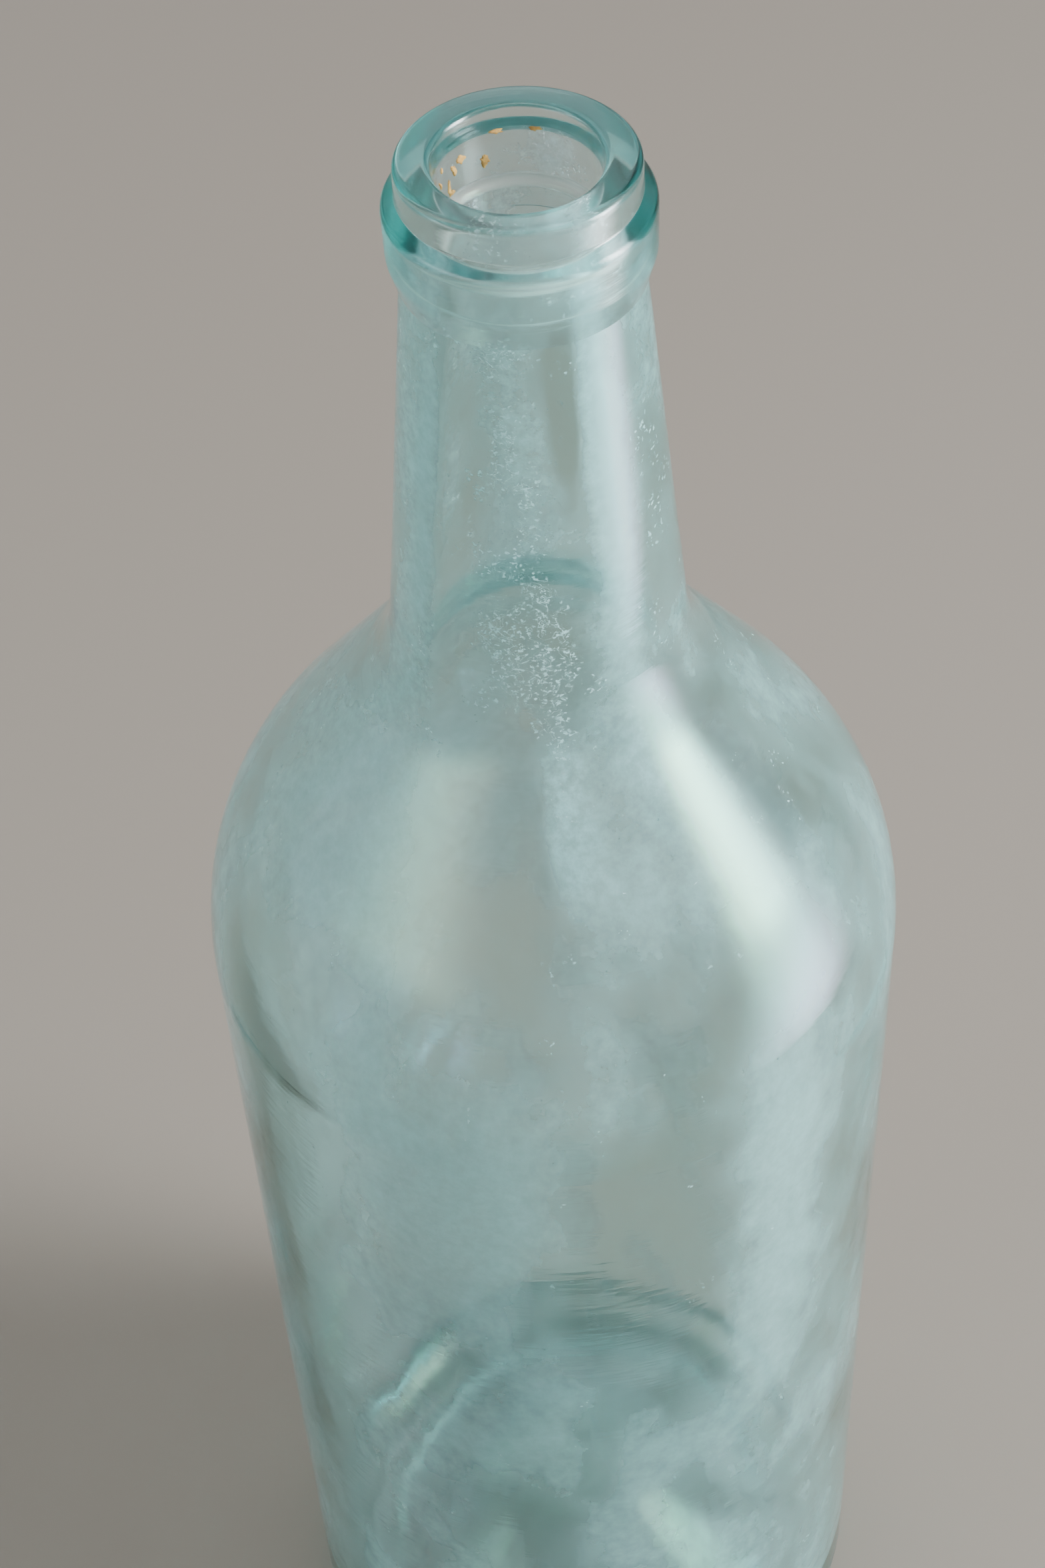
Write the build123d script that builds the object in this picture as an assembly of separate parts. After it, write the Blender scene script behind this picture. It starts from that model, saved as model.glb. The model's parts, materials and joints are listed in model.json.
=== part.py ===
"""Mouth-blown round bottle for soda water, with an applied finish for a cork.

Units are millimetres. The bottle stands on z = 0 with its axis on Z.
Heights near the mouth are given as depths below the top of the lip.
"""
import os
from math import cos, radians, sin

from build123d import *

# Overall size
BOTTLE_HEIGHT = 285.0
BODY_TOP_RADIUS = 46.0
BODY_FOOT_RADIUS = 44.4
NECK_TOP_RADIUS = 13.55
NECK_FOOT_RADIUS = 18.5

# Depths below the top of the lip
SHOULDER_DEPTH = 106.5
NECK_FOOT_DEPTH = 70.5
FINISH_DEPTH = 14.8
NECK_END_DEPTH = 8.8
RING_DEPTH = 3.8
COLLAR_TOP_DEPTH = 5.3
COLLAR_FOOT_DEPTH = 11.4

# Finish: an upper ring, and a wider collar below it
BORE_RADIUS = 9.0
RING_RADIUS = 13.35
COLLAR_RADIUS = 14.95
NECK_END_RADIUS = 11.8
THROAT_RADIUS = 8.0
FINISH_HEM = 0.3

# Glass thickness and the raised base
WALL = 4.0
FLOOR_WALL = 7.0
KICK_HEIGHT = 20.0
KICK_TOP_RADIUS = 12.0
KICK_FOOT_RADIUS = 33.0

# Dried residue, which fills shallow pits in the bore wall and lies flush with it
PIT_DEPTH = 0.25

# Each fleck: angle round the bore, depth, half width, half height, lean
FLECKS = (
    (133.0, 4.8, 0.55, 0.42, 20.0),
    (140.0, 5.6, 0.30, 0.55, -25.0),
    (146.5, 7.2, 0.26, 0.80, 0.0),
    (143.0, 8.2, 0.38, 0.32, 30.0),
    (113.6, 6.2, 0.42, 0.62, -20.0),
    (155.5, 4.1, 0.20, 0.34, 0.0),
    (158.5, 5.7, 0.18, 0.50, -30.0),
    (104.0, 2.9, 0.70, 0.26, 5.0),
    (77.0, 2.8, 0.62, 0.22, -8.0),
)


def level(depth):
    """Height above the floor of a depth measured from the lip."""
    return BOTTLE_HEIGHT - depth


def turned(*edges):
    """Solid of revolution about Z from one closed outline in the XZ plane."""
    outline = make_face(Curve() + list(edges))
    return revolve(Plane.XZ * outline, Axis.Z)


def blown_body():
    """One blown piece: raised base, body, shoulder and neck, open at the neck's end."""
    kick_apex = (0.0, KICK_HEIGHT)
    neck_mouth = (THROAT_RADIUS, level(NECK_END_DEPTH))
    outside = FilletPolyline(
        kick_apex,
        (KICK_TOP_RADIUS, KICK_HEIGHT),
        (KICK_FOOT_RADIUS, 0.0),
        (BODY_FOOT_RADIUS, 0.0),
        (BODY_TOP_RADIUS, level(SHOULDER_DEPTH)),
        (NECK_FOOT_RADIUS, level(NECK_FOOT_DEPTH)),
        (NECK_TOP_RADIUS, level(FINISH_DEPTH)),
        (NECK_END_RADIUS, level(NECK_END_DEPTH)),
        neck_mouth,
        radius=[22.0, 3.0, 7.5, 45.0, 21.0, 0.0, 1.0],
    )
    floor_apex = (0.0, KICK_HEIGHT + FLOOR_WALL)
    inner_foot_height = FLOOR_WALL + 2.0
    inside = FilletPolyline(
        floor_apex,
        (KICK_TOP_RADIUS, KICK_HEIGHT + FLOOR_WALL),
        (KICK_FOOT_RADIUS - 2.0, inner_foot_height),
        (BODY_FOOT_RADIUS - WALL, inner_foot_height),
        (BODY_TOP_RADIUS - WALL, level(SHOULDER_DEPTH + 1.5)),
        (NECK_FOOT_RADIUS - WALL, level(NECK_FOOT_DEPTH + 1.5)),
        (BORE_RADIUS + 0.3, level(26.0)),
        (THROAT_RADIUS, level(14.0)),
        neck_mouth,
        radius=[22.0, 6.0, 7.5, 41.0, 25.0, 30.0, 12.0],
    )
    glass = turned(outside, inside, Line(kick_apex, floor_apex))
    melted_edge = glass.edges().filter_by(GeomType.CIRCLE).filter_by(
        lambda edge: abs(edge.radius - THROAT_RADIUS) < 0.01
        and abs(edge.center().Z - level(NECK_END_DEPTH)) < 0.01
    )
    return fillet(melted_edge, BORE_RADIUS - THROAT_RADIUS)


def applied_finish(flecks):
    """Second gather of glass, laid round the neck's end and tooled to a ring and collar."""
    socket = FilletPolyline(
        (NECK_TOP_RADIUS, level(FINISH_DEPTH)),
        (NECK_END_RADIUS, level(NECK_END_DEPTH)),
        (BORE_RADIUS, level(NECK_END_DEPTH)),
        radius=[1.0],
    )
    tooled = FilletPolyline(
        (BORE_RADIUS, level(NECK_END_DEPTH)),
        (BORE_RADIUS, level(2.0)),
        (BORE_RADIUS + 0.5, level(0.0)),
        (RING_RADIUS, level(0.0)),
        (RING_RADIUS + 0.05, level(RING_DEPTH)),
        (COLLAR_RADIUS, level(COLLAR_TOP_DEPTH)),
        (COLLAR_RADIUS - 0.1, level(COLLAR_FOOT_DEPTH)),
        (NECK_TOP_RADIUS + FINISH_HEM, level(FINISH_DEPTH)),
        (NECK_TOP_RADIUS, level(FINISH_DEPTH)),
        radius=[4.0, 0.9, 1.0, 0.4, 1.5, 3.5, 0.0],
    )
    return turned(socket, tooled) - flecks


def residue_fleck(angle, depth, half_width, half_height, lean):
    """Thin curved crust in the bore wall, an ellipse in outline."""
    height = 4.0 * half_height + 4.0 * half_width
    layer = Cylinder(BORE_RADIUS + PIT_DEPTH, height) - Cylinder(BORE_RADIUS, height)
    outward = Vector(cos(radians(angle)), sin(radians(angle)), 0.0)
    sideways = Vector(-sin(radians(angle)), cos(radians(angle)), 0.0)
    start = outward * (BORE_RADIUS / 2.0) + Vector(0.0, 0.0, level(depth))
    outline = Plane(start, sideways, outward) * Rot(0.0, 0.0, lean) * Ellipse(half_width, half_height)
    return (Pos(0.0, 0.0, level(depth)) * layer) & extrude(outline, BORE_RADIUS)


def residue_flecks():
    """All the flecks, which stay separate solids in one node."""
    return Compound([residue_fleck(*fleck).solid() for fleck in FLECKS])


os.makedirs("parts", exist_ok=True)
residue = residue_flecks()
export_step(blown_body(), "parts/bottle_body.step")
export_step(applied_finish(residue), "parts/applied_finish.step")
export_step(residue, "parts/residue_flecks.step")
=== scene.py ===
import json
from math import atan2, ceil, cos, degrees, exp, pi, radians, sin, tan

import bmesh
import bpy
from mathutils import Matrix, Vector, noise


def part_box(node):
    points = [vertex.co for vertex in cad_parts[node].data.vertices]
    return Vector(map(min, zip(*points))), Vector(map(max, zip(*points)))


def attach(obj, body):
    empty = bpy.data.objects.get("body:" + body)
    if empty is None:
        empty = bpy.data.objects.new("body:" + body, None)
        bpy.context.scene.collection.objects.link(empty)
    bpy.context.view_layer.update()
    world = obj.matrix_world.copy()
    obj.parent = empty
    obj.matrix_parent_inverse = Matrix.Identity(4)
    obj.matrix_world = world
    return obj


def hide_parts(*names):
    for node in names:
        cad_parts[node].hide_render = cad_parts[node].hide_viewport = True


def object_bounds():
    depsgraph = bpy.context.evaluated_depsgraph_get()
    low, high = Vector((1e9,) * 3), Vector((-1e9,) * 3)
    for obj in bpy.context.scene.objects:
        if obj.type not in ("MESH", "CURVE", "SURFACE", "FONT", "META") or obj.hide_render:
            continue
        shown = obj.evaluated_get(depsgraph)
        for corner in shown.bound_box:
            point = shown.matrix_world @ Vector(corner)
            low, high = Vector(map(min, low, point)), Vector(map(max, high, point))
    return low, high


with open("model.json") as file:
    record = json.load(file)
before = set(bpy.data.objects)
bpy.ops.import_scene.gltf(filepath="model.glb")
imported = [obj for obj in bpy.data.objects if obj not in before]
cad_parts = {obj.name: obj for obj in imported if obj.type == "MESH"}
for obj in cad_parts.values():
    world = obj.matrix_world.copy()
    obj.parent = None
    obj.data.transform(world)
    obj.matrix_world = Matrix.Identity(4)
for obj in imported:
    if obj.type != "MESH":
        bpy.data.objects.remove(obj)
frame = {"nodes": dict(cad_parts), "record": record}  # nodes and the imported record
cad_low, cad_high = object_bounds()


# ---------------------------------------------------------------- blown body
# One gather of pale aqua glass, blown in a dip mould: raised base, body, shoulder and neck.
# Its neck was sheared off and melted smooth, and the finish was laid round that end.
# The wall wanders a little, as blown glass does, and holds small drawn-out bubbles.

mm = 0.001
lip = cad_high.z
neck_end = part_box("bottle_body")[1].z
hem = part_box("applied_finish")[0].z
mouth = next(m for m in frame["record"]["mounts"] if m["name"] == "mouth")
bore = mouth["dims"]["r_mm"] * mm

body_top, body_foot = 46.0 * mm, 44.4 * mm
neck_top, neck_foot = 13.55 * mm, 18.5 * mm
neck_end_radius, throat = 11.8 * mm, 8.0 * mm
wall = 4.0 * mm
kick, floor_glass = 20.0 * mm, 27.0 * mm
shoulder = lip - 106.5 * mm
neck_base = lip - 70.5 * mm


def rounded_outline(corners, longest=3.0 * mm, near=0.15 * mm):
    """Points (radius, height) of an outline given by corners (radius, height, rounding)."""
    spots = [Vector(corner[:2]) for corner in corners]
    points = [spots[0]]

    def run_to(end):
        start = points[-1].copy()
        length = (end - start).length
        if length < near / 10:
            return
        if length > 4 * near:
            points.append(start.lerp(end, near / length))
            count = ceil((length - 2 * near) / longest)
            for i in range(1, count + 1):
                points.append(start.lerp(end, (near + (length - 2 * near) * i / count) / length))
        points.append(end)

    for i in range(1, len(spots) - 1):
        arrive = (spots[i] - spots[i - 1]).normalized()
        leave = (spots[i + 1] - spots[i]).normalized()
        turn = atan2(arrive.x * leave.y - arrive.y * leave.x, arrive.dot(leave))
        rounding = corners[i][2]
        start = spots[i] - arrive * rounding * tan(abs(turn) / 2)
        run_to(start)
        if rounding:
            side = 1 if turn > 0 else -1
            centre = start + Vector((-arrive.y, arrive.x)) * rounding * side
            steps = max(4, ceil(degrees(abs(turn)) / 7), ceil(rounding * abs(turn) / (2.2 * mm)))
            for step in range(1, steps + 1):
                points.append(centre + Matrix.Rotation(turn * step / steps, 2) @ (start - centre))
    run_to(spots[-1])
    return points


inner_foot = 9.0 * mm
outside = rounded_outline([
    (0.0, kick, 0.0),
    (12.0 * mm, kick, 22.0 * mm),
    (33.0 * mm, 0.0, 3.0 * mm),
    (body_foot, 0.0, 7.5 * mm),
    (body_top, shoulder, 45.0 * mm),
    (neck_foot, neck_base, 21.0 * mm),
    (neck_top, hem, 0.0),
    (neck_end_radius, neck_end, 1.0 * mm),
    (bore, neck_end, 0.0),
])
inside = rounded_outline([
    (bore, neck_end, 0.0),
    (throat, neck_end, bore - throat),
    (throat, lip - 14.0 * mm, 12.0 * mm),
    (bore + 0.3 * mm, lip - 26.0 * mm, 30.0 * mm),
    (neck_foot - wall, neck_base - 1.5 * mm, 25.0 * mm),
    (body_top - wall, shoulder - 1.5 * mm, 41.0 * mm),
    (body_foot - wall, inner_foot, 7.5 * mm),
    (31.0 * mm, inner_foot, 6.0 * mm),
    (12.0 * mm, floor_glass, 22.0 * mm),
    (0.0, floor_glass, 0.0),
])


def outline_object(name, points, inner, wander, welded):
    """A thread of vertices for the turning tree, with what each one says about its ring."""
    mesh = bpy.data.meshes.new(name)
    places = [(p.x, 0.0, p.y) for p in points]
    mesh.from_pydata(places, [(i, i + 1) for i in range(len(points) - 1)], [])
    for key, values in (("inner", inner), ("wander", wander), ("welded", welded)):
        mesh.attributes.new(key, "FLOAT", "POINT").data.foreach_set("value", values)
    piece = bpy.data.objects.new(name, mesh)
    bpy.context.collection.objects.link(piece)
    return piece


def add(tree, kind, inputs=None, **settings):
    """A new node with its settings, and each named input linked or given a value."""
    node = tree.nodes.new(kind)
    for key, value in settings.items():
        setattr(node, key, value)
    for key, value in (inputs or {}).items():
        if isinstance(value, bpy.types.NodeSocket):
            tree.links.new(value, node.inputs[key])
        else:
            node.inputs[key].default_value = value
    return node


def maths(tree, operation, first, second=0.0, third=0.0):
    """The result of one Math node, in a geometry or a shader tree."""
    node = add(tree, "ShaderNodeMath", {0: first, 1: second, 2: third}, operation=operation)
    return node.outputs[0]


def vector_maths(tree, operation, first, **second):
    """The result of one Vector Math node, whose second input is Vector or Scale."""
    node = add(tree, "ShaderNodeVectorMath", {0: first}, operation=operation)
    key, value = next(iter(second.items()))
    socket = node.inputs[1] if key == "Vector" else node.inputs["Scale"]
    if isinstance(value, bpy.types.NodeSocket):
        tree.links.new(value, socket)
    else:
        socket.default_value = value
    return node.outputs[0]


def combined(tree, x, y, z):
    """A vector made from three numbers."""
    return add(tree, "ShaderNodeCombineXYZ", {"X": x, "Y": y, "Z": z}).outputs[0]


def named(tree, key):
    """A float attribute read by name in a geometry tree."""
    node = add(tree, "GeometryNodeInputNamedAttribute", {"Name": key}, data_type="FLOAT")
    return node.outputs["Attribute"]


def stored(tree, mesh, key, value, domain="POINT"):
    """A mesh with a float attribute written on it by name in a geometry tree."""
    node = add(tree, "GeometryNodeStoreNamedAttribute", {"Geometry": mesh, "Name": key, "Value": value},
               data_type="FLOAT", domain=domain)
    return node.outputs[0]


def new_tree(name, kind, sockets):
    """An empty node group with sockets given as (in or out, name, type, value)."""
    tree = bpy.data.node_groups.new(name, kind)
    for way, key, socket, value in sockets:
        made = tree.interface.new_socket(key, in_out=way, socket_type="NodeSocket" + socket)
        if value is not None:
            made.default_value = value
    return tree, add(tree, "NodeGroupInput").outputs, add(tree, "NodeGroupOutput")


def turning_tree():
    """Geometry nodes that turn an outline about Z, let the wall wander and blow bubbles into it."""
    tree, given, out = new_tree("turned_glass", "GeometryNodeTree", [
        ("INPUT", "Outline", "Geometry", None),
        ("INPUT", "Slices", "Int", 192),
        ("INPUT", "Wander", "Float", 0.25 * mm),
        ("INPUT", "Wander Size", "Float", 34 * mm),
        ("INPUT", "Seed", "Int", 3),
        ("INPUT", "Bubbles per Area", "Float", 0.0),
        ("INPUT", "Bubble Size", "Float", 0.3 * mm),
        ("INPUT", "Glass", "Material", None),
        ("OUTPUT", "Geometry", "Geometry", None),
    ])
    outline, slices, seed = given["Outline"], given["Slices"], given["Seed"]
    rings = add(tree, "GeometryNodeAttributeDomainSize", {"Geometry": outline}).outputs["Point Count"]
    columns = maths(tree, "ADD", slices, 1)
    sheet = add(tree, "GeometryNodeMeshGrid", {"Vertices X": columns, "Vertices Y": rings})
    index = add(tree, "GeometryNodeInputIndex").outputs[0]
    ring = maths(tree, "MODULO", index, rings)
    column = maths(tree, "FLOOR", maths(tree, "DIVIDE", maths(tree, "ADD", index, 0.5), rings))
    angle = maths(tree, "MULTIPLY", maths(tree, "DIVIDE", column, slices), 2 * pi)

    def on_ring(kind, value):
        inputs = {"Geometry": outline, "Value": value, "Index": ring}
        return add(tree, "GeometryNodeSampleIndex", inputs, data_type=kind).outputs[0]

    place = on_ring("FLOAT_VECTOR", add(tree, "GeometryNodeInputPosition").outputs[0])
    spot = add(tree, "ShaderNodeSeparateXYZ", {0: place})
    radius, height = spot.outputs["X"], spot.outputs["Z"]
    inner = on_ring("FLOAT", named(tree, "inner"))
    loose = on_ring("FLOAT", named(tree, "wander"))
    welded = on_ring("FLOAT", named(tree, "welded"))
    across, along = maths(tree, "COSINE", angle), maths(tree, "SINE", angle)

    # The wall's ripples are longer up the bottle than round it, and nearly all of them go inwards.
    ripple_stretch, ripple_bias = 0.6, 0.62
    true_place = combined(tree, maths(tree, "MULTIPLY", radius, across),
                          maths(tree, "MULTIPLY", radius, along),
                          maths(tree, "MULTIPLY", height, ripple_stretch))
    ripple = add(tree, "ShaderNodeTexNoise", {
        "Vector": true_place,
        "W": maths(tree, "ADD", seed, inner),
        "Scale": maths(tree, "DIVIDE", 1.0, given["Wander Size"]),
        "Detail": 1.5}, noise_dimensions="4D").outputs["Fac"]
    swing = maths(tree, "MULTIPLY", maths(tree, "SUBTRACT", ripple, ripple_bias), given["Wander"])
    swing = maths(tree, "MULTIPLY", swing, maths(tree, "MULTIPLY", loose, 2.0))
    wandering = maths(tree, "ADD", radius, swing)
    turned_place = combined(tree, maths(tree, "MULTIPLY", wandering, across),
                            maths(tree, "MULTIPLY", wandering, along), height)
    turned = sheet.outputs["Mesh"]
    for key, value in (("inner", inner), ("wander", loose), ("welded", welded)):
        turned = stored(tree, turned, key, value)
    turned = add(tree, "GeometryNodeSetPosition", {"Geometry": turned, "Position": turned_place})
    weld = maths(tree, "GREATER_THAN", named(tree, "welded"), 0.99)
    turned = stored(tree, turned.outputs[0], "weld", weld, "FACE")
    turned = add(tree, "GeometryNodeMergeByDistance", {"Geometry": turned, "Distance": 0.001 * mm})
    turned = turned.outputs[0]

    # Seed bubbles lie inside the free wall, drawn out upwards.
    deepest, shallowest, bubble_stretch = -2.9 * mm, -1.1 * mm, 1.7
    free_wall = maths(tree, "MULTIPLY", maths(tree, "LESS_THAN", named(tree, "inner"), 0.01),
                      maths(tree, "GREATER_THAN", named(tree, "wander"), 0.5))
    scatter = add(tree, "GeometryNodeDistributePointsOnFaces", {
        "Mesh": turned, "Selection": free_wall, "Density": given["Bubbles per Area"], "Seed": seed})
    depth = add(tree, "FunctionNodeRandomValue", {2: deepest, 3: shallowest, "Seed": seed},
                data_type="FLOAT")
    sunk = vector_maths(tree, "SCALE", scatter.outputs["Normal"], Scale=depth.outputs[1])
    spots = add(tree, "GeometryNodeSetPosition", {"Geometry": scatter.outputs["Points"], "Offset": sunk})
    size = add(tree, "FunctionNodeRandomValue", {2: 0.25, 3: 1.0, "Seed": 9}, data_type="FLOAT")
    size = maths(tree, "MULTIPLY", maths(tree, "POWER", size.outputs[1], 2.0), given["Bubble Size"])
    drawn = combined(tree, size, size, maths(tree, "MULTIPLY", size, bubble_stretch))
    bubble = add(tree, "GeometryNodeMeshIcoSphere", {"Radius": 1.0, "Subdivisions": 2}).outputs["Mesh"]
    bubbles = add(tree, "GeometryNodeInstanceOnPoints", {
        "Points": spots.outputs[0], "Instance": bubble, "Scale": drawn}).outputs[0]
    bubbles = add(tree, "GeometryNodeRealizeInstances", {"Geometry": bubbles}).outputs[0]
    bubbles = add(tree, "GeometryNodeFlipFaces", {"Mesh": bubbles}).outputs[0]
    for key in ("inner", "wander", "welded"):
        bubbles = stored(tree, bubbles, key, 0.0)
    bubbles = stored(tree, bubbles, "weld", 0.0, "FACE")

    joined = add(tree, "GeometryNodeJoinGeometry")
    tree.links.new(turned, joined.inputs[0])
    tree.links.new(bubbles, joined.inputs[0])
    whole = add(tree, "GeometryNodeSetShadeSmooth", {"Geometry": joined.outputs[0]}).outputs[0]
    whole = add(tree, "GeometryNodeRealizeInstances", {"Geometry": whole}).outputs[0]
    whole = add(tree, "GeometryNodeSetMaterial", {"Geometry": whole, "Material": given["Glass"]})
    tree.links.new(whole.outputs[0], out.inputs["Geometry"])
    return tree


def grown(source, tree, material, **inputs):
    """The plain mesh that a geometry tree makes from an object, under the object's own name."""
    modifier = source.modifiers.new(tree.name, "NODES")
    modifier.node_group = tree
    items = [item for item in tree.interface.items_tree if item.in_out == "INPUT"]
    sockets = {item.name: item.identifier for item in items}
    for key, value in inputs.items():
        modifier[sockets[key.replace("_", " ")]] = value
    modifier[sockets["Glass"]] = material
    mesh = bpy.data.meshes.new_from_object(source.evaluated_get(bpy.context.evaluated_depsgraph_get()))
    source.modifiers.clear()
    mesh.name = source.name
    source.data = mesh
    return source


def between(tree, value, low, high):
    """0 below low, 1 above high and smooth in between; low may be the larger."""
    return add(tree, "ShaderNodeMapRange", {"Value": value, "From Min": low, "From Max": high},
               interpolation_type="SMOOTHSTEP").outputs[0]


def cloud(tree, place, scale, detail, roughness=0.5, distortion=0.0):
    """Noise on a place, 0 to 1, as many lumps to the metre as the scale says."""
    return add(tree, "ShaderNodeTexNoise", {
        "Vector": place, "Scale": scale, "Detail": detail,
        "Roughness": roughness, "Distortion": distortion}).outputs["Fac"]


def mineral_bloom_group():
    """Where dried minerals lie on the inner wall: a mottled veil, and clusters of small crystals."""
    tree, given, out = new_tree("mineral_bloom", "ShaderNodeTree", [
        ("INPUT", "Place", "Vector", None),
        ("INPUT", "Cover", "Float", 0.5),
        ("INPUT", "Crystals", "Float", 0.5),
        ("INPUT", "Streak", "Float", 0.6),
        ("OUTPUT", "Veil", "Float", None),
        ("OUTPUT", "Spots", "Float", None),
    ])
    place, crystals = given["Place"], given["Crystals"]
    drawn = vector_maths(tree, "MULTIPLY", place, Vector=combined(tree, 1.0, 1.0, given["Streak"]))

    # The veil: soft clouds shifted by the cover, with a fine grain that is stronger near crystals.
    cover_reach, veil_low, veil_high = 0.75, 0.32, 0.84
    amount = maths(tree, "MULTIPLY_ADD", maths(tree, "SUBTRACT", given["Cover"], 0.5), cover_reach,
                   cloud(tree, drawn, 70.0, 5.0, 0.54, 0.12))
    veil = between(tree, amount, veil_low, veil_high)
    grain = between(tree, cloud(tree, place, 640.0, 4.0, 0.72), 0.30, 0.72)
    grain = maths(tree, "SUBTRACT", grain, 0.5)
    coarse = maths(tree, "MULTIPLY_ADD", between(tree, crystals, 0.1, 0.6), 0.6, 0.15)
    veil = maths(tree, "MULTIPLY", veil, maths(tree, "MULTIPLY_ADD", grain, coarse, 0.95))

    # The spots: dots, flakes and fine threads of crystal, only where a cluster lies.
    cluster_reach, cluster_low, cluster_high = 0.22, 0.52, 0.66
    clusters = maths(tree, "MULTIPLY_ADD", maths(tree, "SUBTRACT", crystals, 0.5), cluster_reach,
                     cloud(tree, drawn, 230.0, 3.0, 0.65, 0.4))
    clusters = between(tree, clusters, cluster_low, cluster_high)
    dots = between(tree, cloud(tree, place, 1900.0, 1.5, 0.5, 0.3), 0.57, 0.66)
    flakes = between(tree, cloud(tree, place, 900.0, 3.0, 0.6, 0.8), 0.60, 0.68)
    flakes = maths(tree, "MULTIPLY", flakes, between(tree, crystals, 0.7, 1.1))
    ridge = maths(tree, "SUBTRACT", cloud(tree, place, 480.0, 3.0, 0.6, 1.2), 0.5)
    threads = between(tree, maths(tree, "ABSOLUTE", ridge), 0.012, 0.004)
    threads = maths(tree, "MULTIPLY", threads, between(tree, crystals, 0.5, 1.0))
    spots = maths(tree, "MAXIMUM", maths(tree, "MAXIMUM", dots, threads), flakes)
    spots = maths(tree, "MULTIPLY", spots, clusters)
    tree.links.new(veil, out.inputs["Veil"])
    tree.links.new(spots, out.inputs["Spots"])
    return tree


def glass_skin_group():
    """The slight orange peel, drawn cords and tool lines of hand-worked glass, as a normal."""
    tree, given, out = new_tree("glass_skin", "ShaderNodeTree", [
        ("INPUT", "Place", "Vector", None),
        ("INPUT", "Cords", "Float", 0.25),
        ("INPUT", "Tool Lines", "Float", 0.0),
        ("OUTPUT", "Normal", "Vector", None),
    ])
    upward, around = (1.0, 1.0, 0.22), (0.12, 0.12, 1.0)
    cords = cloud(tree, vector_maths(tree, "MULTIPLY", given["Place"], Vector=upward), 130.0, 2.0)
    lines = cloud(tree, vector_maths(tree, "MULTIPLY", given["Place"], Vector=around), 900.0, 3.0)
    lines = maths(tree, "MULTIPLY", lines, given["Tool Lines"])
    height = maths(tree, "MULTIPLY_ADD", cords, given["Cords"], lines)
    bump = add(tree, "ShaderNodeBump", {"Height": height, "Strength": 0.6, "Distance": 0.35 * mm})
    tree.links.new(bump.outputs[0], out.inputs["Normal"])
    return tree


turned_glass = turning_tree()
mineral_bloom = mineral_bloom_group()
glass_skin = glass_skin_group()


def group(tree, inner_tree, **inputs):
    """A shader group placed in a material with its own values."""
    node = add(tree, "ShaderNodeGroup", node_tree=inner_tree)
    for key, value in inputs.items():
        socket = node.inputs[key.replace("_", " ")]
        if isinstance(value, bpy.types.NodeSocket):
            tree.links.new(value, socket)
        else:
            socket.default_value = value
    return node.outputs


def empty_material(name):
    """A material with no nodes yet but its output, and the piece's own place."""
    material = bpy.data.materials.new(name)
    material.use_nodes = True
    tree = material.node_tree
    tree.nodes.clear()
    place = add(tree, "ShaderNodeTexCoord").outputs["Object"]
    return material, tree, place, add(tree, "ShaderNodeOutputMaterial").inputs


def aqua_glass(name, depth_colour, depth, cords, tool_lines, frost, dull, patina):
    """Clear glass coloured by its thickness, passed straight through where pieces are fused.

    Its roughness is dull, and more by frost where the bloom has etched the inner wall. The
    patina is the thickness in nanometres of the weathered layer that tints its highlights.
    """
    material, tree, place, out = empty_material(name)
    bloom = bloom_here(tree, place)
    skin = group(tree, glass_skin, Place=place, Cords=cords, Tool_Lines=tool_lines)
    etched = maths(tree, "MULTIPLY", maths(tree, "MULTIPLY", mark(tree, "inner"), bloom["Veil"]), frost)
    shader = add(tree, "ShaderNodeBsdfPrincipled", {
        "Base Color": (1.0, 1.0, 1.0, 1.0),
        "Roughness": maths(tree, "ADD", etched, dull),
        "IOR": 1.5,
        "Transmission Weight": 1.0,
        "Thin Film Thickness": patina,
        "Thin Film IOR": 1.43,
        "Normal": skin["Normal"],
        "Alpha": maths(tree, "SUBTRACT", 1.0, mark(tree, "weld"))})
    inside_glass = add(tree, "ShaderNodeVolumeAbsorption", {"Color": depth_colour, "Density": depth})
    tree.links.new(shader.outputs[0], out["Surface"])
    tree.links.new(inside_glass.outputs[0], out["Volume"])
    return material


def fused(point):
    """1 for a point of the neck's end that lies inside the finish, else 0."""
    return float(point.y >= hem - 0.01 * mm and point.x >= bore - 0.01 * mm)


def freedom(point):
    """How far the wall may wander: not at the foot, the raised base or the mouth."""
    foot = min(max((point.y - 6 * mm) / (25 * mm), 0.0), 1.0)
    top = min(max((hem - 1 * mm - point.y) / (30 * mm), 0.0), 1.0)
    thin_neck = 0.45 if point.y > neck_base else 1.0
    return foot * top * thin_neck if point.x > throat else 0.0
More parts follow.
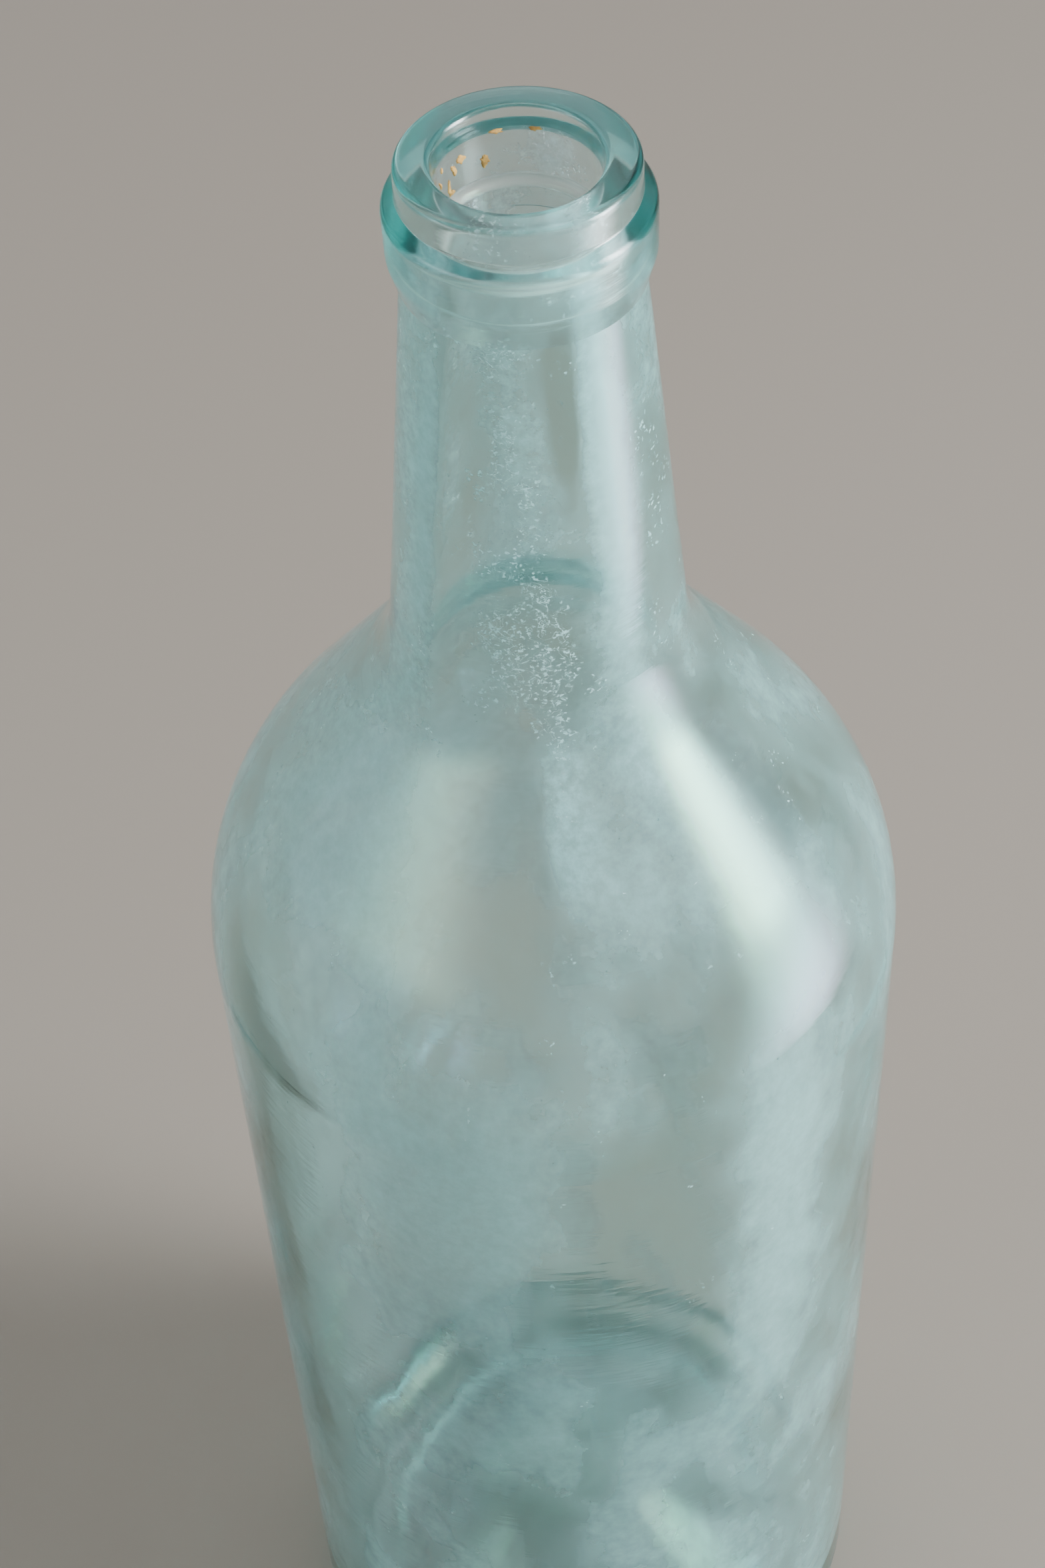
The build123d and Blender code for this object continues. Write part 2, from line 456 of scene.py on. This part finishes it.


# Where the bloom is thin or thick: azimuth and half width in degrees, depth below the lip and
# half height in mm, as (azimuth, depth, half width, half height), and then what is added there
# to the veil and to the crystals. On the right of the neck and the body the added veil is partly
# a painted highlight. The painted bore lines are (depth, half height, amount): cream rings
# painted on the film, the first a painted highlight where the ledge in the bore catches the
# light, the second a thinner, fainter cream line below it.
bloom_and_highlight_patches = [
    (227, 39, 8, 24, -0.95, -0.15),
    (205, 40, 9, 26, 0.25, -0.30),
    (289, 25, 7, 9, -0.70, -0.30),
    (258, 31, 20, 10, 0.05, 0.45),
    (252, 46, 26, 15, 0.06, 0.26),
    (245, 18, 30, 2.5, 0.25, 0.55),
    # The thicker veil on the neck's right is partly a painted highlight, brightening the side where the
    # window's streak falls.
    (312, 38, 12, 24, 0.80, -0.40),
    (262, 60, 20, 9, -0.95, 0.95),
    (274, 64, 7, 12, -0.10, 0.70),
    (211, 66, 8, 4, 0.10, 0.80),
    (255, 88, 15, 15, -0.65, -0.20),
    (275, 81, 9, 10, 0.55, 0.10),
    (308, 76, 11, 9, 0.30, 0.0),
    (212, 88, 22, 15, 0.35, -0.10),
    (250, 134, 16, 19, 0.55, 0.0),
    (286, 138, 14, 24, -0.60, 0.0),
    # The thicker veil down the body's right is partly a painted highlight, brightening the side that the
    # window lights.
    (310, 145, 10, 32, 0.40, 0.0),
    (212, 150, 12, 50, -0.45, 0.0),
    (62, 5.5, 22, 3, 0.45, 0.30),
    (118, 6.0, 16, 3, 0.25, 0.15),
    (60, 60, 30, 30, -0.25, 0.10),
    (120, 130, 40, 40, 0.25, 0.0),
    (20, 190, 35, 40, -0.30, 0.0),
    (165, 210, 30, 40, 0.15, 0.0),
]
# Cream rings painted on the film: a painted highlight at the ledge, and a fainter thin line below it.
painted_bore_lines = [(9.2, 0.65, 1.0), (13.6, 0.18, 0.7)]


def bloom_at(spot):
    """How thickly veil and crystals lie at a place on the inner wall, and how strong the painted bore
    lines are there, each about 0 to 1.
    """
    azimuth = degrees(atan2(spot.y, spot.x))
    depth = (lip - spot.z) / mm
    below_neck = min(max((depth - 60) / 60, 0.0), 1.0)
    veil, crystals = 0.54 + 0.02 * below_neck, 0.46 - 0.42 * below_neck
    above_ledge = 8.5
    if depth < above_ledge:
        veil, crystals = 0.42, 0.46
    for turn, down, half_turn, half_down, more_veil, more_crystals in bloom_and_highlight_patches:
        across = ((azimuth - turn + 180) % 360 - 180) / half_turn
        along = (depth - down) / half_down
        share = exp(-(across * across + along * along))
        veil += more_veil * share
        crystals += more_crystals * share
    # The painted line is cream paint on the film: a painted highlight at the ledge and a fainter line
    # below it.
    painted_line = sum(amount * exp(-((depth - down) / half_down) ** 4)
               for down, half_down, amount in painted_bore_lines)
    return veil, crystals, painted_line


def mark_bloom(piece):
    """Give each point of a piece what its bloom needs to know."""
    marks = [bloom_at(v.co) for v in piece.data.vertices]
    for key, values in zip(("veil", "crystals", "painted_line"), zip(*marks)):
        piece.data.attributes.new(key, "FLOAT", "POINT").data.foreach_set("value", values)


def mark(tree, key):
    """A piece's own mark, read in a material."""
    return add(tree, "ShaderNodeAttribute", attribute_name=key).outputs["Fac"]


def bloom_here(tree, place):
    """The bloom group in a material, driven by the piece's own marks."""
    veil, crystals = mark(tree, "veil"), mark(tree, "crystals")
    return group(tree, mineral_bloom, Place=place, Cover=veil, Crystals=crystals)


body_glass = aqua_glass("blown_aqua_glass", depth_colour=(0.0, 0.85, 0.83, 1.0), depth=48.0, cords=0.25,
                        tool_lines=0.05, frost=0.02, dull=0.05, patina=600.0)
points = outside + inside[1:]
bottle_glass = outline_object(
    "bottle_glass", points,
    [0.0] * len(outside) + [1.0] * (len(inside) - 1),
    [freedom(p) for p in points],
    [fused(p) for p in points])
body_turning = dict(Slices=192, Wander=0.25 * mm, Wander_Size=34 * mm, Seed=3)
grown(bottle_glass, turned_glass, body_glass, **body_turning,
      Bubbles_per_Area=700.0, Bubble_Size=0.35 * mm)
mark_bloom(bottle_glass)
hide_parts("bottle_body")
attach(bottle_glass, "root")


# ---------------------------------------------------------------- applied finish
# A second gather of hot glass, laid round the neck's end and squeezed with a lipping tool
# into an upper ring and a wider collar. It is fused to the neck, with no gap for light.

ring, collar = 13.35 * mm, 14.95 * mm
hair = 0.02 * mm
finish_outline = rounded_outline([
    (neck_top + hair, hem, 0.0),
    (neck_top + 0.3 * mm, hem, 0.12 * mm),
    (collar - 0.1 * mm, lip - 11.4 * mm, 3.5 * mm),
    (collar, lip - 5.3 * mm, 1.5 * mm),
    (ring + 0.05 * mm, lip - 3.8 * mm, 0.4 * mm),
    (ring, lip, 1.0 * mm),
    (bore + 0.5 * mm, lip, 0.9 * mm),
    (bore, lip - 2.0 * mm, 4.0 * mm),
    (bore, neck_end + hair, 0.0),
], longest=0.8 * mm, near=0.08 * mm)
socket_outline = rounded_outline([
    (bore, neck_end + hair, 0.0),
    (neck_end_radius + hair, neck_end + hair, 1.0 * mm),
    (neck_top + hair, hem, 0.0),
], longest=0.8 * mm, near=0.08 * mm)
finish_points = finish_outline + socket_outline[1:]
socket_start = len(finish_outline) - 1
free_end = socket_start - 6  # the last points of the bore stay true, to meet the neck
lip_freedom = 0.35
finish_glass = outline_object(
    "finish_glass", finish_points,
    [float(p.x < bore + 0.01 * mm) for p in finish_points],
    [lip_freedom if hem + 1 * mm < p.y and i < free_end else 0.0 for i, p in enumerate(finish_points)],
    [float(i >= socket_start or i == 0) for i in range(len(finish_points))])
lip_glass = aqua_glass("tooled_aqua_glass", depth_colour=(0.0, 0.88, 0.86, 1.0), depth=34.0, cords=0.12,
                       tool_lines=0.18, frost=0.10, dull=0.14, patina=0.0)
grown(finish_glass, turned_glass, lip_glass, Slices=224, Wander=0.12 * mm, Wander_Size=9 * mm, Seed=8,
      Bubbles_per_Area=0.0)
mark_bloom(finish_glass)
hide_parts("applied_finish")
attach(finish_glass, "root")


# ---------------------------------------------------------------- mineral haze
# Dried minerals from years of hard water on the inner wall: a thin milky film in streaks and
# blotches, with denser spots. It is bonded to the glass, so it lies a hair's breadth under the
# inner face, which it follows from foot to mouth.

bore_steps = 14
film_top = lip - 2.5 * mm
film_gap = 0.05 * mm
bore_step = (neck_end - film_top) / bore_steps
bore_run = [Vector((bore, film_top + bore_step * i)) for i in range(bore_steps)]
film_outline = (bore_run + inside)[::-1]
film_points = [Vector((0.0, film_outline[0].y + film_gap))]
for i in range(1, len(film_outline)):
    before, after = film_outline[i - 1], film_outline[min(i + 1, len(film_outline) - 1)]
    along = (after - before).normalized()
    film_points.append(film_outline[i] + Vector((along.y, -along.x)) * film_gap)


def blended(tree, share, first, second):
    """The first colour turning to the second as the share goes from 0 to 1."""
    node = add(tree, "ShaderNodeMix", {"Factor": share, 6: first, 7: second}, data_type="RGBA")
    return node.outputs[2]


def haze_material():
    """Milky film: its alpha is the mineral bloom, with a pale blue-grey body colour."""
    material, tree, place, out = empty_material("mineral_haze")
    milk, crystal, cream = (0.76, 0.88, 0.89, 1.0), (0.93, 0.97, 0.98, 1.0), (0.96, 0.94, 0.88, 1.0)
    bloom = bloom_here(tree, place)
    # The painted line adds cream rings to the film: a painted highlight where the ledge catches the
    # light, and a thinner line below it.
    painted_line = mark(tree, "painted_line")
    film = maths(tree, "MULTIPLY_ADD", bloom["Veil"], 0.66, 0.01)
    film = maths(tree, "MAXIMUM", film, maths(tree, "MULTIPLY", bloom["Spots"], 0.9))
    film = maths(tree, "MAXIMUM", film, maths(tree, "MULTIPLY", painted_line, 0.95))
    tone = blended(tree, bloom["Spots"], milk, crystal)
    tone = blended(tree, painted_line, tone, cream)
    shader = add(tree, "ShaderNodeBsdfPrincipled", {
        "Base Color": tone, "Roughness": 0.85, "Alpha": film})
    tree.links.new(shader.outputs[0], out["Surface"])
    return material


mineral_haze = outline_object("mineral_haze", film_points, [1.0] * len(film_points),
                              [freedom(p) for p in film_outline], [0.0] * len(film_points))
grown(mineral_haze, turned_glass, haze_material(), **body_turning, Bubbles_per_Area=0.0)
mark_bloom(mineral_haze)
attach(mineral_haze, "root")


# ---------------------------------------------------------------- ochre residue
# Dried ochre crusts in the bore, each grown over the pit that its CAD solid fills:
# ragged in outline, thick and lumpy in the middle, thin at the edge, and sagging a little.

def islands(mesh):
    """The vertex positions of each separate solid of a mesh."""
    home = {}
    spots = {}
    for vertex in mesh.vertices:
        key = tuple(round(c, 6) for c in vertex.co)
        home[vertex.index] = spots.setdefault(key, len(spots))
    parent = list(range(len(spots)))

    def root(i):
        while parent[i] != i:
            parent[i] = parent[parent[i]]
            i = parent[i]
        return i

    for edge in mesh.edges:
        a, b = (root(home[v]) for v in edge.vertices)
        parent[a] = b
    found = {}
    for key, i in spots.items():
        found.setdefault(root(i), []).append(Vector(key))
    return sorted(found.values(), key=lambda solid: (-len(solid), solid[0].z))


def fleck_frame(solid):
    """A fleck's middle (azimuth, height), its lean, and its half length and half width."""
    turns = [atan2(v.y, v.x) for v in solid]
    turn_mid = (max(turns) + min(turns)) / 2
    high_mid = (max(v.z for v in solid) + min(v.z for v in solid)) / 2
    spread = [((turn - turn_mid) * bore, v.z - high_mid) for turn, v in zip(turns, solid)]
    lean = 0.5 * atan2(2 * sum(u * v for u, v in spread), sum(u * u - v * v for u, v in spread))
    half_length = max(abs(u * cos(lean) + v * sin(lean)) for u, v in spread)
    half_width = max(abs(v * cos(lean) - u * sin(lean)) for u, v in spread)
    return turn_mid, high_mid, lean, half_length, half_width


crust_verts, crust_faces = [], []
crust_rings, spokes = 6, 36
crust_size, bulges, nicks, sag = 1.12, 0.60, 0.30, 0.6
thickness, lumpiness, lumps_per_metre = 0.17 * mm, 0.12 * mm, 900
for number, solid in enumerate(islands(frame["nodes"]["residue_flecks"].data)):
    turn_mid, high_mid, lean, half_length, half_width = fleck_frame(solid)
    base = len(crust_verts)
    for face_side in (0, 1):
        for step in range(crust_rings + 1):
            share = step / crust_rings
            for spoke in range(spokes):
                angle = 2 * pi * spoke / spokes
                c, d = cos(angle), sin(angle)
                ragged = crust_size + bulges * noise.noise((1.6 * c + 7 * number, 1.6 * d, 0.5))
                ragged += nicks * noise.noise((5 * c, 5 * d + 5 * number, 1.5))
                u, v = half_length * share * ragged * c, half_width * share * ragged * d
                sideways, upward = u * cos(lean) - v * sin(lean), u * sin(lean) + v * cos(lean)
                if upward < 0:
                    upward *= 1 + sag * exp(-((sideways / (0.4 * half_width)) ** 2))
                t, z = turn_mid + sideways / bore, high_mid + upward
                spot = Vector((bore * cos(t), bore * sin(t), z)) * lumps_per_metre
                thick = (thickness + lumpiness * noise.noise(spot)) * (1 - share ** 3) ** 0.5
                r = bore + 0.02 * mm if face_side else bore - thick
                crust_verts.append((r * cos(t), r * sin(t), z))
        side_base = base + face_side * (crust_rings + 1) * spokes
        for step in range(crust_rings):
            for spoke in range(spokes):
                a = side_base + step * spokes + spoke
                b = side_base + step * spokes + (spoke + 1) % spokes
                quad = (a, a + spokes, b + spokes, b)
                crust_faces.append(quad if face_side else quad[::-1])
    rim = base + crust_rings * spokes
    back = rim + (crust_rings + 1) * spokes
    for spoke in range(spokes):
        following = (spoke + 1) % spokes
        crust_faces.append((rim + spoke, rim + following, back + following, back + spoke))


def crust_material():
    """Ochre mineral crust, mottled from rust to pale ochre, and gritty."""
    material, tree, place, out = empty_material("ochre_crust")
    rust, ochre = (0.30, 0.13, 0.025, 1.0), (0.62, 0.36, 0.09, 1.0)
    tone = add(tree, "ShaderNodeValToRGB", {"Fac": cloud(tree, place, 1400.0, 5.0, 0.65)})
    for stop, place_on_ramp, colour in zip(tone.color_ramp.elements, (0.32, 0.68), (rust, ochre)):
        stop.position, stop.color = place_on_ramp, colour
    grit = cloud(tree, place, 5200.0, 3.0)
    bump = add(tree, "ShaderNodeBump", {"Height": grit, "Strength": 0.7, "Distance": 0.05 * mm})
    rough = add(tree, "ShaderNodeMapRange", {"Value": grit, "To Min": 0.65, "To Max": 0.95})
    shader = add(tree, "ShaderNodeBsdfPrincipled", {
        "Base Color": tone.outputs[0], "Roughness": rough.outputs[0], "Normal": bump.outputs[0]})
    tree.links.new(shader.outputs[0], out["Surface"])
    return material


crust_mesh = bpy.data.meshes.new("ochre_residue")
crust_mesh.from_pydata(crust_verts, [], crust_faces)
shells = bmesh.new()
shells.from_mesh(crust_mesh)
bmesh.ops.remove_doubles(shells, verts=shells.verts, dist=0.0005 * mm)
bmesh.ops.recalc_face_normals(shells, faces=shells.faces)
shells.to_mesh(crust_mesh)
shells.free()
crust_mesh.shade_smooth()
crust_mesh.materials.append(crust_material())
ochre_residue = bpy.data.objects.new("ochre_residue", crust_mesh)
bpy.context.collection.objects.link(ochre_residue)
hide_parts("residue_flecks")
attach(ochre_residue, "root")


# ---------------------------------------------------------------- studio
# A plain pale floor in a dim even room, with a soft key light at the right, a weak fill at the
# left and a soft sky overhead. A tall window close to the right lights only the glass.

floor_mesh = bpy.data.meshes.new("floor")
reach = 40.0
floor_corners = [(-reach, -reach, 0), (reach, -reach, 0), (reach, reach, 0), (-reach, reach, 0)]
floor_mesh.from_pydata(floor_corners, [], [(0, 1, 2, 3)])
floor_paint = bpy.data.materials.new("floor")
floor_paint.use_nodes = True
floor_shader = floor_paint.node_tree.nodes["Principled BSDF"]
floor_shader.inputs["Base Color"].default_value = (0.27, 0.235, 0.20, 1.0)
floor_shader.inputs["Roughness"].default_value = 0.8
floor_mesh.materials.append(floor_paint)
studio_floor = bpy.data.objects.new("floor", floor_mesh)
bpy.context.collection.objects.link(studio_floor)
studio_floor.location.z = cad_low.z

room = bpy.data.worlds.new("room")
room.use_nodes = True
room_tree = room.node_tree
direction = add(room_tree, "ShaderNodeTexCoord").outputs["Generated"]
rise = add(room_tree, "ShaderNodeSeparateXYZ", {0: direction}).outputs["Z"]
low_wall, ceiling = (0.72, 0.78, 0.80, 1.0), (0.42, 0.45, 0.47, 1.0)
walls = blended(room_tree, between(room_tree, rise, 0.0, 0.75), low_wall, ceiling)
room_tree.links.new(walls, room_tree.nodes["Background"].inputs["Color"])
room_tree.nodes["Background"].inputs["Strength"].default_value = 0.8
bpy.context.scene.world = room


def soft_light(name, place, aim, width, height, power, colour, fade, spread=180):
    """A large rectangular light at a place, turned to face a point.

    It fades from its middle to its sides and its ends, faster for a larger fade.
    """
    data = bpy.data.lights.new(name, "AREA")
    data.shape, data.size, data.size_y = "RECTANGLE", width, height
    data.energy, data.color, data.spread = power, colour, radians(spread)
    data.use_nodes = True
    tree = data.node_tree
    across = add(tree, "ShaderNodeNewGeometry").outputs["Parametric"]
    spot = add(tree, "ShaderNodeSeparateXYZ", {0: across})
    glow = None
    for axis, sharpness in zip("XY", fade):
        side = spot.outputs[axis]
        hump = maths(tree, "MULTIPLY", side, maths(tree, "SUBTRACT", 1.0, side))
        hump = maths(tree, "POWER", maths(tree, "MULTIPLY", hump, 4.0), sharpness)
        glow = maths(tree, "MULTIPLY", glow, hump) if glow else hump
    tree.links.new(glow, tree.nodes["Emission"].inputs["Strength"])
    lamp = bpy.data.objects.new(name, data)
    bpy.context.collection.objects.link(lamp)
    lamp.location = place
    lamp.rotation_euler = (Vector(aim) - Vector(place)).to_track_quat("-Z", "Y").to_euler()
    lamp.visible_camera = False
    return lamp


middle = (0.0, 0.0, 0.6 * lip)
cool = (0.95, 0.98, 1.0)
soft_light("key", (1.30, -0.25, 0.75), middle, width=1.05, height=1.50, power=85.0, colour=cool,
           fade=(3.0, 3.0), spread=100)
soft_light("fill", (-3.6, -2.0, 1.55), middle, width=8.0, height=2.9, power=150.0,
           colour=(0.97, 0.98, 1.0), fade=(3.0, 3.0), spread=120)
window = soft_light("window", (0.52, -0.14, 0.45), (0.0, 0.0, 0.73), width=0.40, height=1.0, power=36.0,
                    colour=cool, fade=(5.0, 0.45))
near_glass = bpy.data.collections.new("lit_by_window")
for piece in (bottle_glass, finish_glass, mineral_haze, ochre_residue):
    near_glass.objects.link(piece)
window.light_linking.receiver_collection = near_glass

skylight = bpy.data.lights.new("skylight", "SUN")
skylight.angle, skylight.energy, skylight.color = radians(75), 1.2, (1.0, 0.98, 0.95)
skylight_lamp = bpy.data.objects.new("skylight", skylight)
bpy.context.collection.objects.link(skylight_lamp)
skylight_lamp.rotation_euler = Vector((-0.25, 0.72, 0.85)).to_track_quat("Z", "Y").to_euler()

# The camera looks down over the mouth from in front, a little tilted.
eye = Vector((0.0, -266.1 * mm, lip + 193.2 * mm))
pitch, heading, tilt = radians(47.54), radians(-0.69), radians(3.27)
look = Vector((sin(heading) * cos(pitch), cos(heading) * cos(pitch), -sin(pitch)))
level_right = Vector((cos(heading), -sin(heading), 0.0))
level_up = level_right.cross(look)
right = cos(tilt) * level_right - sin(tilt) * level_up
up = sin(tilt) * level_right + cos(tilt) * level_up
camera = bpy.data.objects.new("camera", bpy.data.cameras.new("camera"))
bpy.context.collection.objects.link(camera)
camera.matrix_world = Matrix.Translation(eye) @ Matrix((right, up, -look)).transposed().to_4x4()
camera.data.sensor_width, camera.data.lens = 36.0, 70.4
camera.data.clip_start = 0.01
bpy.context.scene.camera = camera
